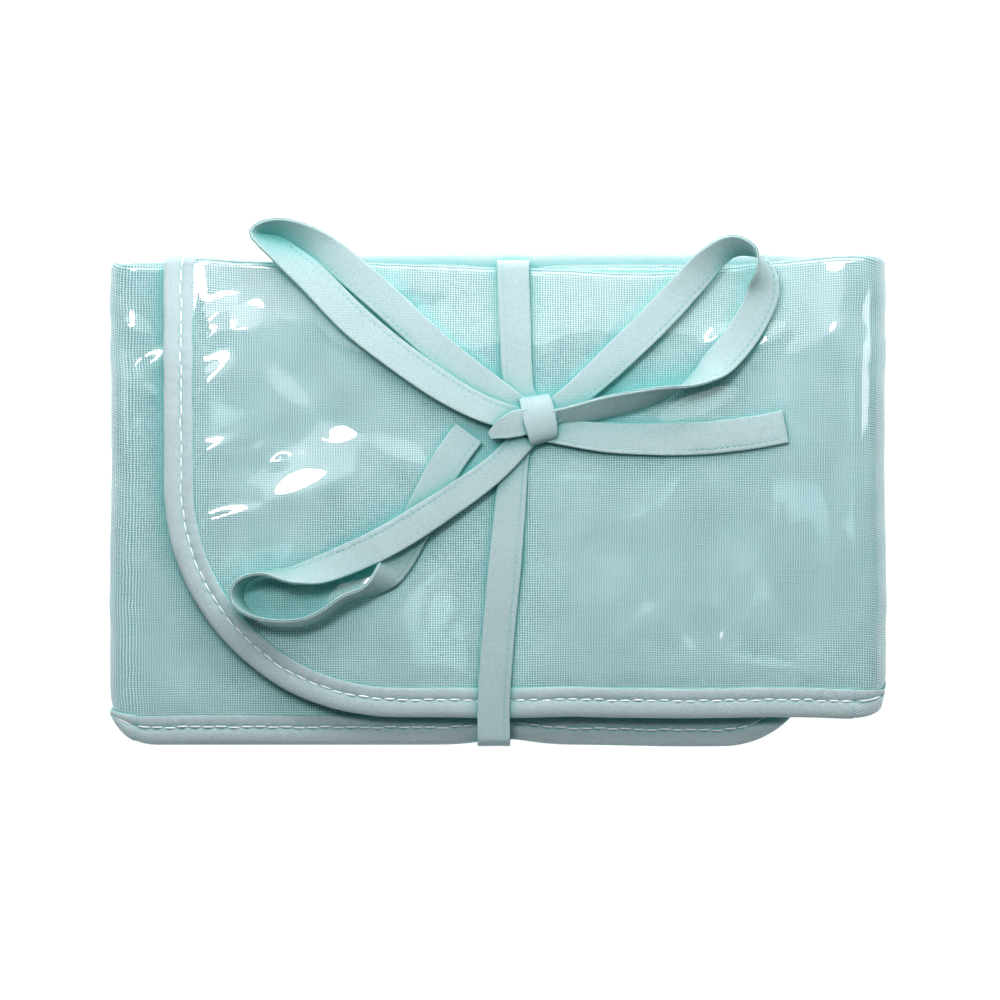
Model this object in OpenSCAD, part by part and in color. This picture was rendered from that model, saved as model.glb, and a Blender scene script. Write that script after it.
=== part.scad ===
// Folding changing pad: a padded sheet with a clear wipe-clean face, bound round its edge with
// bias tape. It is folded in three across its height (an S of three leaves) and then in three
// across its width (two flaps over a middle panel), and a fabric tie holds it shut in a bow.
// X runs along the folded pad, Y across it, and Z up out of the bow. The pad lies on Z = 0.

/* [Folded pad] */
// Width of the folded pad, fold to fold
pad_w = 249.4; // [235:0.2:265]
// Height of the folded pad, edge to edge
pad_h = 158.2; // [150:0.2:166]
// Length of the left flap, from the left fold to its free edge
left_flap_reach = 220.5; // [200:0.5:224]
// Length of the right flap, from the right fold to its free edge
right_flap_reach = 232.5; // [200:0.5:236]
// Radius of the pad's rounded corners
corner_r = 60; // [40:1:66]

/* [Plies] */
// Thickness of the clear film
film_t = 0.2; // [0.1:0.05:0.2]
// Thickness of the woven face
gauze_t = 0.3; // [0.2:0.05:0.3]
// Thickness of the wadding
wadding_t = 1.3; // [1:0.1:1.3]
// Thickness of the backing cloth
backing_t = 0.3; // [0.2:0.05:0.3]

/* [Edging] */
// Width of the edging tape on each face of the pad
tape_w = 9; // [7:0.5:12]
// Thickness of one side of the edging tape
tape_t = 0.3; // [0.2:0.05:0.3]
// Distance from the pad's edge to the row of stitching
stitch_in = 5.3; // [4:0.1:6]
// Thickness of the sewing thread
thread_d = 0.6; // [0.4:0.1:0.8]

/* [Tie] */
// Width of the tie
tie_w = 10.5; // [8:0.5:13]
// Thickness of the folded and sewn tie
tie_t = 1.2; // [0.8:0.1:1.2]

/* [Hidden] */
$fn = 48;

// Offsets of each ply from the middle of the sheet, counted towards the film side. The film side
// has more on it than the backing side, so the wadding lies a little below the middle.
ply_shift = (gauze_t + film_t - backing_t) / 2;
wadding_span = [-wadding_t / 2 - ply_shift, wadding_t / 2 - ply_shift];
gauze_span = [wadding_span[1], wadding_span[1] + gauze_t];
film_span = [gauze_span[1], gauze_span[1] + film_t];
backing_span = [wadding_span[0] - backing_t, wadding_span[0]];
leaf_half = film_span[1];

// The wadding stops short of the bound edge. There the other plies lie together, so the edge is
// thinner than the padded part, tape and stitches included, and the pad rests on its film.
edge_half = (film_t + gauze_t + backing_t) / 2;
film_edge = [edge_half - film_t, edge_half];
gauze_edge = [film_edge[0] - gauze_t, film_edge[0]];
backing_edge = [-edge_half, -edge_half + backing_t];
tape_half = edge_half + tape_t;
thread_proud = 0.1;
step_in = tape_w + 0.3;

// Leaves of one folded stack lie a pitch apart, and turn into each other on half circles
leaf_gap = 0.1;
pitch = 2 * leaf_half + leaf_gap;
stack_t = 2 * pitch + 2 * leaf_half;
tie_clear = 0.3;
tie_gap = tie_t + 2 * tie_clear;
flap_gap = 0.4;

// Middle height of each stack, from the table up
middle_z = stack_t / 2;
left_z = middle_z + stack_t + tie_gap;
right_z = left_z + stack_t + flap_gap;
top_z = right_z + stack_t / 2;

// Each fold turns about a line midway between the two stacks that it joins
left_fold_z = (middle_z + left_z) / 2;
right_fold_z = (middle_z + right_z) / 2;
left_fold_r = left_z - left_fold_z;
right_fold_r = right_z - right_fold_z;
left_fold_x = -pad_w / 2 + left_fold_r + stack_t / 2;
right_fold_x = pad_w / 2 - right_fold_r - stack_t / 2;

// Edges in Y: the outer leaf's taped edge at the bottom, the inner leaf's at the top, and the
// two folds between the leaves. Each stack's lie so far inside the pad's outline, in the order
// [outer edge, inner edge, top fold, bottom fold].
fold_reach = pitch / 2 + leaf_half;
half_h = pad_h / 2;
function edges_in(d) = [
    -half_h + d[0],
    half_h - d[1],
    half_h - d[2] - fold_reach,
    -half_h + d[3] + fold_reach
];
middle_edges = edges_in([4.8, 0, 1, 0]);
left_edges = edges_in([0, 5, 3, 3]);
right_edges = edges_in([9.6, 3, 2, 11]);

// Heights of the tie over and under the flaps
strap_z = top_z + tie_clear + tie_t / 2;
back_strap_z = middle_z + stack_t / 2 + tie_gap / 2;

// ---- Folded sheet ----
// These modules draw one stack of three leaves. It runs from x = 0 at its fold to x = $run, and
// $edges holds its edges in Y. $free says whether its far end is a bound edge with round corners.

module half_ring(r_in, r_out, side) {
    intersection() {
        difference() {
            circle(r = r_out);
            circle(r = r_in);
        }
        translate([side > 0 ? 0 : -r_out - 1, -r_out - 1]) square([r_out + 1, 2 * r_out + 2]);
    }
}

// The S of three leaves in section, between offsets span[0] and span[1]. The outer leaf starts
// at y_outer and the inner leaf ends at y_inner.
module leaves(span, y_outer, y_inner) {
    t = span[1] - span[0];
    y_top = $edges[2];
    y_bottom = $edges[3];
    translate([y_outer, pitch + span[0]]) square([y_top - y_outer, t]);
    translate([y_bottom, -span[1]]) square([y_top - y_bottom, t]);
    translate([y_bottom, -pitch + span[0]]) square([y_inner - y_bottom, t]);
    translate([y_top, pitch / 2]) half_ring(pitch / 2 + span[0], pitch / 2 + span[1], 1);
    translate([y_bottom, -pitch / 2]) half_ring(pitch / 2 - span[1], pitch / 2 - span[0], -1);
}

module along_x(from, to) {
    translate([from, 0, 0]) rotate([90, 0, 90]) linear_extrude(height = to - from) children();
}

// A quarter of a flat ring in the corner of the outer leaf (which = 0) or inner leaf (which = 1)
module corner(span, r_in, r_out, which) {
    sign_y = which == 0 ? 1 : -1;
    leaf_z = which == 0 ? pitch : -pitch;
    translate([$run - corner_r, $edges[which] + sign_y * corner_r, leaf_z + span[0]])
        linear_extrude(height = span[1] - span[0])
            intersection() {
                difference() {
                    circle(r = r_out);
                    if (r_in > 0) circle(r = r_in);
                }
                translate([0, which == 0 ? -r_out : 0]) square(r_out);
            }
}

// A whole ply, inset from the pad's edge
module ply(span, inset) {
    square_end = $free ? $run - corner_r : $run;
    along_x(0, square_end) leaves(span, $edges[0] + inset, $edges[1] - inset);
    if ($free) {
        along_x(square_end, $run - inset) leaves(span, $edges[0] + corner_r, $edges[1] - corner_r);
        for (which = [0, 1]) corner(span, 0, corner_r - inset, which);
    }
}

// A strip of a leaf beside its bound edge, between two insets
module edge_strip(span, near, far, which) {
    leaf_z = which == 0 ? pitch : -pitch;
    y = which == 0 ? $edges[0] + near : $edges[1] - far;
    length = $free ? $run - corner_r : $run;
    translate([0, y, leaf_z + span[0]]) cube([length, far - near, span[1] - span[0]]);
}

// A band that follows the whole bound edge, between two insets
module band(span, near, far) {
    for (which = [0, 1]) edge_strip(span, near, far, which);
    if ($free) {
        for (which = [0, 1]) corner(span, corner_r - far, corner_r - near, which);
        along_x($run - far, $run - near) leaves(span, $edges[0] + corner_r, $edges[1] - corner_r);
    }
}

// A ply that steps from its place under the tape to its place over the wadding, at inset step
module stepped_ply(span, edge_span, step) {
    t = span[1] - span[0];
    ply(span, step);
    band([min(span[0], edge_span[0]), max(span[1], edge_span[1])], step, step + t);
    band(edge_span, tape_t, step + t);
}

module binding() {
    band([edge_half, tape_half], 0, tape_w);
    band([-tape_half, -edge_half], 0, tape_w);
    band([-edge_half, edge_half], 0, tape_t);
}

module thread() {
    top = tape_half + thread_proud;
    for (side = [[tape_half, top], [-top, -tape_half]]) {
        band(side, stitch_in, stitch_in + thread_d);
    }
}

module film_ply() color([0.84, 0.93, 0.95, 0.5]) stepped_ply(film_span, film_edge, step_in);
module gauze_ply() color([0.66, 0.86, 0.87]) stepped_ply(gauze_span, gauze_edge, step_in + film_t);
module wadding_ply() color([0.93, 0.94, 0.93]) ply(wadding_span, step_in + film_t + gauze_t);
module backing_ply() color([0.78, 0.88, 0.9]) stepped_ply(backing_span, backing_edge, step_in);
module edge_binding() color([0.72, 0.89, 0.9]) binding();
module edge_thread() color([0.93, 0.95, 0.96]) thread();

// ---- Where the three stacks lie ----

module at_middle() {
    $run = right_fold_x - left_fold_x;
    $edges = middle_edges;
    $free = false;
    translate([left_fold_x, 0, middle_z]) mirror([0, 0, 1]) children();
}

module at_left_flap() {
    $run = left_flap_reach - (left_fold_x + pad_w / 2);
    $edges = left_edges;
    $free = true;
    translate([left_fold_x, 0, left_z]) children();
}

module at_right_flap() {
    $run = right_flap_reach - (pad_w / 2 - right_fold_x);
    $edges = right_edges;
    $free = true;
    translate([right_fold_x, 0, right_z]) mirror([1, 0, 0]) children();
}

// ---- Folds in the sheet, between a flap and the middle panel ----
// Three nested half tubes, one for each leaf. turn is the radius on which the middle leaf turns.

module tube_half(r, span, y_from, y_to) {
    translate([0, y_to, 0]) rotate([90, 0, 0])
        linear_extrude(height = y_to - y_from) half_ring(r + span[0], r + span[1], 1);
}

module fold_ply(turn, edges, span, inset) {
    turned = [-span[1], -span[0]];
    tube_half(turn + pitch, span, edges[0] + inset, edges[2]);
    tube_half(turn, turned, edges[3], edges[2]);
    tube_half(turn - pitch, span, edges[3], edges[1] - inset);
}

module fold_binding(turn, edges) {
    span = [-tape_half, tape_half];
    tube_half(turn + pitch, span, edges[0], edges[0] + tape_w);
    tube_half(turn - pitch, span, edges[1] - tape_w, edges[1]);
}

module at_left_fold() {
    translate([left_fold_x, 0, left_fold_z]) mirror([1, 0, 0]) children();
}

module at_right_fold() {
    translate([right_fold_x, 0, right_fold_z]) children();
}

// Where a fold joins two stacks, its edges are those that both have
function shared_edges(a, b) = [max(a[0], b[0]), min(a[1], b[1]), min(a[2], b[2]), max(a[3], b[3])];
left_fold_edges = shared_edges(middle_edges, left_edges);
right_fold_edges = shared_edges(middle_edges, right_edges);

module left_fold_tape() at_left_fold() fold_binding(left_fold_r, left_fold_edges);
module right_fold_tape() at_right_fold() fold_binding(right_fold_r, right_fold_edges);
module left_fold(span) at_left_fold() fold_ply(left_fold_r, left_fold_edges, span, tape_w);
module right_fold(span) at_right_fold() fold_ply(right_fold_r, right_fold_edges, span, tape_w);

// ---- Tie ----
// Each stretch of the tie is swept along its route. A route's points are [x, y, z, wx, wy, wz]:
// a place on its centre line, and which way its width lies there.

function place(p) = [p[0], p[1], p[2]];
function across(p) = [p[3], p[4], p[5]];
function unit(v) = v / norm(v);

// A smooth curve through four points, at share u between the middle two
function spline(a, b, c, d, u) =
    b + (c - a) * u / 2
    + (2 * a - 5 * b + 4 * c - d) * u * u / 2
    + (3 * b - a - 3 * c + d) * u * u * u / 2;

function last(list) = list[len(list) - 1];
function smoothed(route, steps) = let (n = len(route))
    concat(
        [for (i = [0:n - 2], s = [0:steps - 1])
            spline(route[max(i - 1, 0)], route[i], route[i + 1], route[min(i + 2, n - 1)], s / steps)],
        [last(route)]
    );

// The four corners of the tie's section at ring i
function ring(line, i, w, t) =
    let (
        before = line[max(i - 1, 0)],
        after = line[min(i + 1, len(line) - 1)],
        forward = unit(place(after) - place(before)),
        raw = across(line[i]),
        side = unit(raw - forward * (raw * forward)),
        up = cross(forward, side)
    )
    [
        for (c = [[-1, -1], [1, -1], [1, 1], [-1, 1]])
            place(line[i]) + side * c[0] * w / 2 + up * c[1] * t / 2
    ];

module ribbon(route, steps = 3, w = tie_w, t = tie_t) {
    line = smoothed(route, steps);
    rings = [for (i = [0:len(line) - 1]) ring(line, i, w, t)];
    points = [for (r = rings, p = r) p];
    walls = [
        for (i = [0:len(line) - 2], k = [0:3])
            let (a = 4 * i + k, b = 4 * i + (k + 1) % 4)
            each [[a, a + 4, b], [b, a + 4, b + 4]]
    ];
    end = 4 * (len(line) - 1);
    color([0.74, 0.9, 0.91])
        polyhedron(points, concat(
            [[0, 1, 2], [0, 2, 3]],
            walls,
            [[end, end + 2, end + 1], [end, end + 3, end + 2]]
        ));
}

// The strap turns down over the flaps' folded edges at the top and round their taped edges below
top_turn_y = half_h - 1;
bottom_turn_y = -half_h - 1.1;
sewn_x = 4.2;
lower_x = -2;
knot_at = [12.5, 26, strap_z + 4];
knot_r = 5.6;
knot_scale = [1, 1.15, 0.8];
knot_turn = -12;

top_strap_route = [
    [sewn_x, top_turn_y, back_strap_z + 0.2, 1, 0, 0],
    [sewn_x, top_turn_y, strap_z - 3, 1, 0, 0],
    [sewn_x, top_turn_y - 1, strap_z - 0.3, 1, 0, 0],
    [sewn_x, top_turn_y - 4, strap_z, 1, 0, 0],
    [4.8, 56, strap_z, 1, 0, 0],
    [5.4, 42, strap_z + 0.1, 1, 0, 0],
    [6.6, 34, strap_z + 0.3, 1, -0.2, 0],
    [9.6, 29, strap_z + 0.9, 1, -0.3, 0],
];

bottom_strap_route = [
    [9.5, 22.3, strap_z + 0.9, 1, -0.2, 0],
    [5.4, 16, strap_z + 0.3, 1, -0.1, 0],
    [4, 6, strap_z, 1, 0, 0],
    [2, -16, strap_z, 1, 0, 0],
    [-0.6, -44, strap_z, 1, 0, 0],
    [lower_x, -64, strap_z, 1, 0, 0],
    [lower_x, -74, strap_z, 1, 0, 0],
    [lower_x, bottom_turn_y + 1, strap_z - 0.3, 1, 0, 0],
    [lower_x, bottom_turn_y, strap_z - 3, 1, 0, 0],
    [lower_x, bottom_turn_y, back_strap_z + 0.2, 1, 0, 0],
];

back_strap_route = [
    [sewn_x, half_h - 2.4, back_strap_z, 1, 0, 0],
    [4, 40, back_strap_z, 1, 0, 0],
    [0, -40, back_strap_z, 1, 0, 0],
    [lower_x, -half_h + 0.5, back_strap_z, 1, 0, 0],
];

left_loop_route = [
    [7, 25.5, strap_z + 4.6, -0.5, -0.85, 0],
    [-7, 30, strap_z + 5, -0.5, -0.85, 0.15],
    [-24, 40, strap_z + 4.5, -0.6, -0.8, 0.15],
    [-45, 56, strap_z + 4, -0.68, -0.73, 0.15],
    [-61, 71, strap_z + 4.4, -0.72, -0.7, 0.2],
    [-71, 79.5, strap_z + 5, -0.7, -0.6, 0.45],
    [-77, 85, strap_z + 5.4, -0.6, -0.2, 0.8],
    [-75, 88, strap_z + 5.2, -0.2, 0.6, 0.8],
    [-68, 87.5, strap_z + 4.2, 0.3, 0.85, 0.45],
    [-56, 81, strap_z + 3, 0.55, 0.83, 0.15],
    [-38, 65, strap_z + 1.8, 0.66, 0.75, 0],
    [-18, 47, strap_z + 1.6, 0.66, 0.75, 0],
    [1, 33, strap_z + 2.4, 0.66, 0.75, 0],
    [8, 28, strap_z + 3, 0.66, 0.75, 0],
];

right_loop_route = [
    [18, 29, strap_z + 4.4, -0.7, 0.7, 0],
    [28, 37, strap_z + 4, -0.7, 0.7, 0],
    [49, 57, strap_z + 3.4, -0.7, 0.7, 0],
    [63, 72, strap_z + 4, -0.65, 0.7, 0.3],
    [70, 80, strap_z + 4.8, -0.4, 0.7, 0.6],
    [77, 82.5, strap_z + 5, 0.2, 0.65, 0.75],
    [83.5, 78, strap_z + 4.6, 0.8, 0.3, 0.5],
    [83, 66, strap_z + 3.4, 0.95, -0.2, 0.2],
    [78, 55, strap_z + 2.8, 0.88, -0.45, 0.15],
    [70, 45, strap_z + 3, 0.72, -0.6, 0.35],
    [62, 39, strap_z + 4.2, 0.3, -0.4, 0.85],
    [50, 35, strap_z + 4.6, 0.05, 0.3, 0.95],
    [34, 31.5, strap_z + 4.4, 0, 0.5, 0.85],
    [22, 28.7, strap_z + 4, 0, 0.5, 0.85],
];

left_tail_route = [
    [8, 20, strap_z + 2.8, 0.85, -0.5, 0],
    [-3, 9, strap_z + 3.4, 0.66, -0.75, 0],
    [-20, -3, strap_z + 4, 0.57, -0.82, 0],
    [-38, -14, strap_z + 4, 0.5, -0.86, 0.1],
    [-56, -22, strap_z + 4.6, 0.35, -0.85, 0.35],
    [-70, -25, strap_z + 5.2, 0.1, -0.5, 0.85],
    [-80, -25, strap_z + 5.4, -0.15, 0.3, 0.95],
    [-84.5, -29, strap_z + 5.4, -0.35, 0, 0.93],
    [-81, -36, strap_z + 5.4, -0.2, -0.3, 0.93],
    [-72, -40, strap_z + 5.2, 0, -0.35, 0.93],
    [-58, -38.5, strap_z + 4.8, 0.15, -0.4, 0.9],
    [-45, -30, strap_z + 3.4, 0.45, -0.5, 0.7],
    [-36, -20, strap_z + 1.4, 0.75, -0.55, 0.25],
    [-28, -6, strap_z + 1, 0.85, -0.5, 0],
    [-18, 10, strap_z + 1.4, 0.87, -0.5, 0],
    [-10, 21.5, strap_z + 1.8, 0.87, -0.48, 0],
];

right_tail_route = [
    [16.5, 22.2, strap_z + 2.6, 0.1, -1, 0],
    [30, 20.4, strap_z + 1.8, 0, -1, 0],
    [44, 19.6, strap_z + 1, 0, -1, 0],
    [64, 19.8, strap_z + 0.8, 0.05, -1, 0],
    [80, 21.5, strap_z + 0.8, 0.12, -1, 0],
    [91.5, 23.6, strap_z + 0.8, 0.15, -1, 0],
];

// The small leaf of ribbon that is tucked out of the knot on its left
knot_tuck_route = [
    [9, 24.5, strap_z + 6.4, 0.3, 0.95, 0.1],
    [4, 24, strap_z + 7.2, 0.3, 0.95, 0.1],
    [-2, 21, strap_z + 7.1, 0.4, 0.9, 0.1],
];

module knot() {
    color([0.74, 0.9, 0.91])
        translate(knot_at) rotate([0, 0, knot_turn]) scale(knot_scale) sphere(r = knot_r);
}

// Rows of thread that hold the tie to the edging tape
bartack_rows = 4;
bartack_pitch = 1.6;
bartack_in = 3.4;
bartack_side = 1;
bartack_t = 0.2;

module bartack() {
    color([0.93, 0.95, 0.96])
        for (row = [0:bartack_rows - 1]) {
            y = half_h - bartack_in - row * bartack_pitch;
            translate([sewn_x - tie_w / 2 + bartack_side, y, back_strap_z + tie_t / 2])
                cube([tie_w - 2 * bartack_side, thread_d, bartack_t]);
        }
}

// ---- Pieces ----

at_middle() film_ply();  // middle_film
at_middle() gauze_ply();  // middle_gauze
at_middle() wadding_ply();  // middle_wadding
at_middle() backing_ply();  // middle_backing
at_middle() edge_binding();  // middle_binding
at_middle() edge_thread();  // middle_thread
at_left_flap() film_ply();  // left_flap_film
at_left_flap() gauze_ply();  // left_flap_gauze
at_left_flap() wadding_ply();  // left_flap_wadding
at_left_flap() backing_ply();  // left_flap_backing
at_left_flap() edge_binding();  // left_flap_binding
at_left_flap() edge_thread();  // left_flap_thread
at_right_flap() film_ply();  // right_flap_film
at_right_flap() gauze_ply();  // right_flap_gauze
at_right_flap() wadding_ply();  // right_flap_wadding
at_right_flap() backing_ply();  // right_flap_backing
at_right_flap() edge_binding();  // right_flap_binding
at_right_flap() edge_thread();  // right_flap_thread
left_fold(film_span);  // left_fold_film
left_fold(gauze_span);  // left_fold_gauze
left_fold(wadding_span);  // left_fold_wadding
left_fold(backing_span);  // left_fold_backing
left_fold_tape();  // left_fold_binding
right_fold(film_span);  // right_fold_film
right_fold(gauze_span);  // right_fold_gauze
right_fold(wadding_span);  // right_fold_wadding
right_fold(backing_span);  // right_fold_backing
right_fold_tape();  // right_fold_binding
ribbon(back_strap_route);  // tie_back_strap
bartack();  // tie_bartack
ribbon(top_strap_route);  // tie_top_strap
ribbon(bottom_strap_route);  // tie_bottom_strap
ribbon(left_loop_route);  // tie_left_loop
ribbon(right_loop_route);  // tie_right_loop
ribbon(left_tail_route);  // tie_left_tail
ribbon(right_tail_route);  // tie_right_tail
knot();  // tie_knot
ribbon(knot_tuck_route);  // tie_knot_tuck
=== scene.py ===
"""Looks of the folding changing pad: woven face under a clear film, bias tape, stitches and a bow."""

import math

import bmesh
import bpy
import numpy as np
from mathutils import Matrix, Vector


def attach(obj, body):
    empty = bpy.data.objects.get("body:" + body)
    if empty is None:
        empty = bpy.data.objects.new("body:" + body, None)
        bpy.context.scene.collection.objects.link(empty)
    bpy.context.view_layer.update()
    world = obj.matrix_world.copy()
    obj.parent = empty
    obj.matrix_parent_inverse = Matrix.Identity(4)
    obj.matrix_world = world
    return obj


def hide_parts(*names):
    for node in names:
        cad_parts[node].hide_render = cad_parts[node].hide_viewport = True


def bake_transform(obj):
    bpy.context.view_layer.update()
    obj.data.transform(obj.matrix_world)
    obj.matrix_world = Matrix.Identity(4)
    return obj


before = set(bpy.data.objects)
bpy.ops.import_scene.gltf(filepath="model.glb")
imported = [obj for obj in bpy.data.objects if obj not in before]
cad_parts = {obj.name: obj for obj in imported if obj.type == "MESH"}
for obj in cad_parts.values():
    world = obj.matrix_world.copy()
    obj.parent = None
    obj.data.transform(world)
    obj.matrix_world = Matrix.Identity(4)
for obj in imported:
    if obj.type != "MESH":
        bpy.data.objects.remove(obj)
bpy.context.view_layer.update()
MM = 0.001

# ---------------- camera
VIEW_WIDTH = 0.3215
VIEW_LEVEL = 0.016  # the height at which the view is that wide
LENS = 300
SENSOR = 36
CAMERA_HEIGHT = VIEW_LEVEL + VIEW_WIDTH * LENS / SENSOR
camera_data = bpy.data.cameras.new("camera")
camera_data.lens = LENS
camera_data.sensor_width = SENSOR
camera = bpy.data.objects.new("camera", camera_data)
camera.location = (0, 0, CAMERA_HEIGHT)
bpy.context.scene.collection.objects.link(camera)
bpy.context.scene.camera = camera

# ---------------- sizes, in mm
# Each panel is three leaves of one sheet, PITCH apart, and these are the heights of the middle leaves
PITCH = 2.2
STACK = 6.5
MIDDLE_Z, LEFT_Z, RIGHT_Z = STACK / 2, 11.55, 18.45
TOP_Z = RIGHT_Z + STACK / 2
# The line (x, z) that each side fold turns about, and how far from it the middle leaf is
LEFT_TURN, RIGHT_TURN = (LEFT_Z - MIDDLE_Z) / 2, (RIGHT_Z - MIDDLE_Z) / 2
LEFT_AXIS = (-117.3, MIDDLE_Z + LEFT_TURN)
RIGHT_AXIS = (113.85, MIDDLE_Z + RIGHT_TURN)
# The panels' lengths in x, from one side fold to the other or to the flap's free end
RUN = {"middle": round(RIGHT_AXIS[0] - LEFT_AXIS[0], 2), "left": 219, "right": 221.65}
CORNER_R = {"right": 75, "left": 30}
# The outline's half height, how far a turned edge stands past its fold line, and the length of a turn
HALF_H = 79.1
FOLD_REACH = 2.15
TURN = math.pi * PITCH / 2
TAPE_W = 9
STITCH_IN = 5.3
TIE_W, TIE_T = 10.5, 1.2
STRAP_Z = 22.6
BACK_STRAP_Z = 7.4
# On a fold, u is a share of the way round, and this is about how long the way round is
FOLD_ARC = 14
UV_PER_MM = 0.01


def edges_in(outer, inner, top, bottom):
    """The y of a panel's outer edge, inner edge, top fold and bottom fold, each given as its distance in from
    the outline."""
    top_fold = HALF_H - top - FOLD_REACH
    bottom_fold = -HALF_H + bottom + FOLD_REACH
    return np.array([-HALF_H + outer, HALF_H - inner, top_fold, bottom_fold])


EDGES = {
    "middle": edges_in(4.8, 0, 1, 0),
    "left": edges_in(0, 5, 3, 3),
    "right": edges_in(9.6, 3, 2, 11),
}


# ---------------- smooth noise
def smooth(a, b, x):
    """0 at a and 1 at b, and a smooth rise between them."""
    t = np.clip((np.asarray(x, float) - a) / (b - a), 0, 1)
    return t * t * (3 - 2 * t)


NOISE_CELLS = 64
NOISE_SHIFT = (311.3, 173.7)  # keeps every place well inside the positive cells


def noise(x, y, scale, seed):
    """Soft hills and hollows from -1 to 1, about as wide as scale."""
    lattice = np.random.default_rng(seed).uniform(-1, 1, (NOISE_CELLS, NOISE_CELLS))
    gx = np.asarray(x, float) / scale + NOISE_SHIFT[0]
    gy = np.asarray(y, float) / scale + NOISE_SHIFT[1]
    ix, iy = np.floor(gx).astype(int), np.floor(gy).astype(int)
    fx, fy = gx - ix, gy - iy
    fx, fy = fx * fx * (3 - 2 * fx), fy * fy * (3 - 2 * fy)

    def at(a, b):
        return lattice[a % NOISE_CELLS, b % NOISE_CELLS]

    low = at(ix, iy) * (1 - fx) + at(ix + 1, iy) * fx
    high = at(ix, iy + 1) * (1 - fx) + at(ix + 1, iy + 1) * fx
    return low * (1 - fy) + high * fy


# ---------------- how the folded sheet lies
def along(edges, v, n):
    """Y and z at flat distance v from the outer edge, n off the sheet's middle towards the film side. Z is
    measured from the middle leaf. edges is outer, inner, top fold, bottom fold: numbers, or arrays like v."""
    outer, inner, top, bottom = edges
    v = np.asarray(v, float)
    top_start = top - outer
    top_end = top_start + TURN
    bottom_start = top_end + (top - bottom)
    bottom_end = bottom_start + TURN
    r = PITCH / 2
    top_angle = (v - top_start) / r
    bottom_angle = (v - bottom_start) / r
    stretches = [v <= top_start, v <= top_end, v <= bottom_start, v <= bottom_end]
    y = np.select(
        stretches,
        [outer + v, top + (r + n) * np.sin(top_angle), top - (v - top_end),
         bottom - (r - n) * np.sin(bottom_angle)],
        bottom + (v - bottom_end),
    )
    z = np.select(
        stretches,
        [PITCH + n, r + (r + n) * np.cos(top_angle), -n + 0 * v, -r + (r - n) * np.cos(bottom_angle)],
        -PITCH + n,
    )
    return y, z


def flat_height(edges):
    """The height of the whole unfolded sheet."""
    return (edges[2] - edges[0]) + (edges[2] - edges[3]) + (edges[1] - edges[3]) + 2 * TURN


# Dents of the whole top leaf, and the film's own creases, in mm and degrees:
# (x, y, length, width, direction, height)
DENTS = [
    (-60, 35, 40, 7.0, -50, -1.7), (-44, -20, 46, 8.0, 30, -1.9), (-62, 2, 34, 6.0, 22, 1.3),
    (-68, 19, 46, 6.5, 26, -1.0), (-30, 10, 36, 7, -30, 0.9), (30, -20, 60, 9.0, 8, -1.0),
    (70, -5, 50, 9.0, 75, -1.0), (60, 35, 34, 7.0, 20, -1.0), (-30, 60, 40, 8.0, 10, -0.7),
    (44, -44, 30, 6.0, 55, 1.0), (60, -40, 24, 5.0, -50, -0.9),
]
FILM_CREASES = [
    (-91.4, 58.8, 14, 3.2, 38, 0.95), (-90.6, 54.5, 15, 2.4, 38, 0.7), (-81.4, 55.2, 12, 4.6, 30, 1.3),
    (-92.6, 51.5, 19, 1.9, 24, 0.6), (-79.2, 50.6, 9, 3.4, 46, 1.0), (-93.0, 37.0, 22, 5.0, 46, 1.5),
    (-93.0, 15.4, 18, 3.2, 25, 0.95), (-77.6, 15.5, 11, 2.8, 38, 0.8), (-66.6, -9.4, 22, 4.0, 46, 1.3),
    (-71.0, 12.5, 6, 2.0, 20, 0.5), (-89.0, -6.0, 20, 2.5, 16, 0.75), (86.8, 50.6, 15, 4.4, 35, 1.25),
    (70.0, 52.8, 11, 3.2, 44, 0.95), (94.2, 46.4, 12, 3.2, 30, 0.95), (80.5, 56.5, 8, 2.8, 22, 0.8),
    (109, 54, 8, 2.1, 40, 0.7), (8.8, 4, 12, 1.6, 87, 0.9), (9, -19, 8, 1.5, 86, 0.7),
    (44, -52, 13, 1.7, 82, 0.8), (71, -46, 9, 1.6, 78, 0.9), (70, -36, 9, 1.5, -70, 0.7),
    (115, 12, 34, 2.4, 88, 0.8), (116, -30, 26, 2.2, 87, 0.8),
]
# The same beside the left fold: x is measured from the seam, round the fold
SIDE_CREASES = [(-2.4, 55.5, 15, 3.4, -38, 1.0), (5.4, 43.5, 11, 2.8, 32, 0.9), (3.4, 35, 11, 2.4, 128, 0.75)]


def crease_height(x, y, creases):
    """The height at (x, y) of a set of long, slightly curved creases."""
    total = np.zeros(np.shape(x))
    for cx, cy, length, width, turn, height in creases:
        c, s = math.cos(math.radians(turn)), math.sin(math.radians(turn))
        a = (x - cx) * c + (y - cy) * s
        b = -(x - cx) * s + (y - cy) * c + 0.02 * a * a / max(width, 2)
        total += height * np.exp(-(a / (0.5 * length)) ** 2 - (b / width) ** 2)
    return total


def hump(x, centre, width):
    """1 at the centre, and falling off smoothly on both sides."""
    return np.exp(-((x - centre) / width) ** 2)


# The heights between which the stack passes from the middle panel to the left flap, and on to the right flap
LEFT_FROM = (7.0, 8.2)
RIGHT_FROM = (14.9, 15.3)


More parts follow.
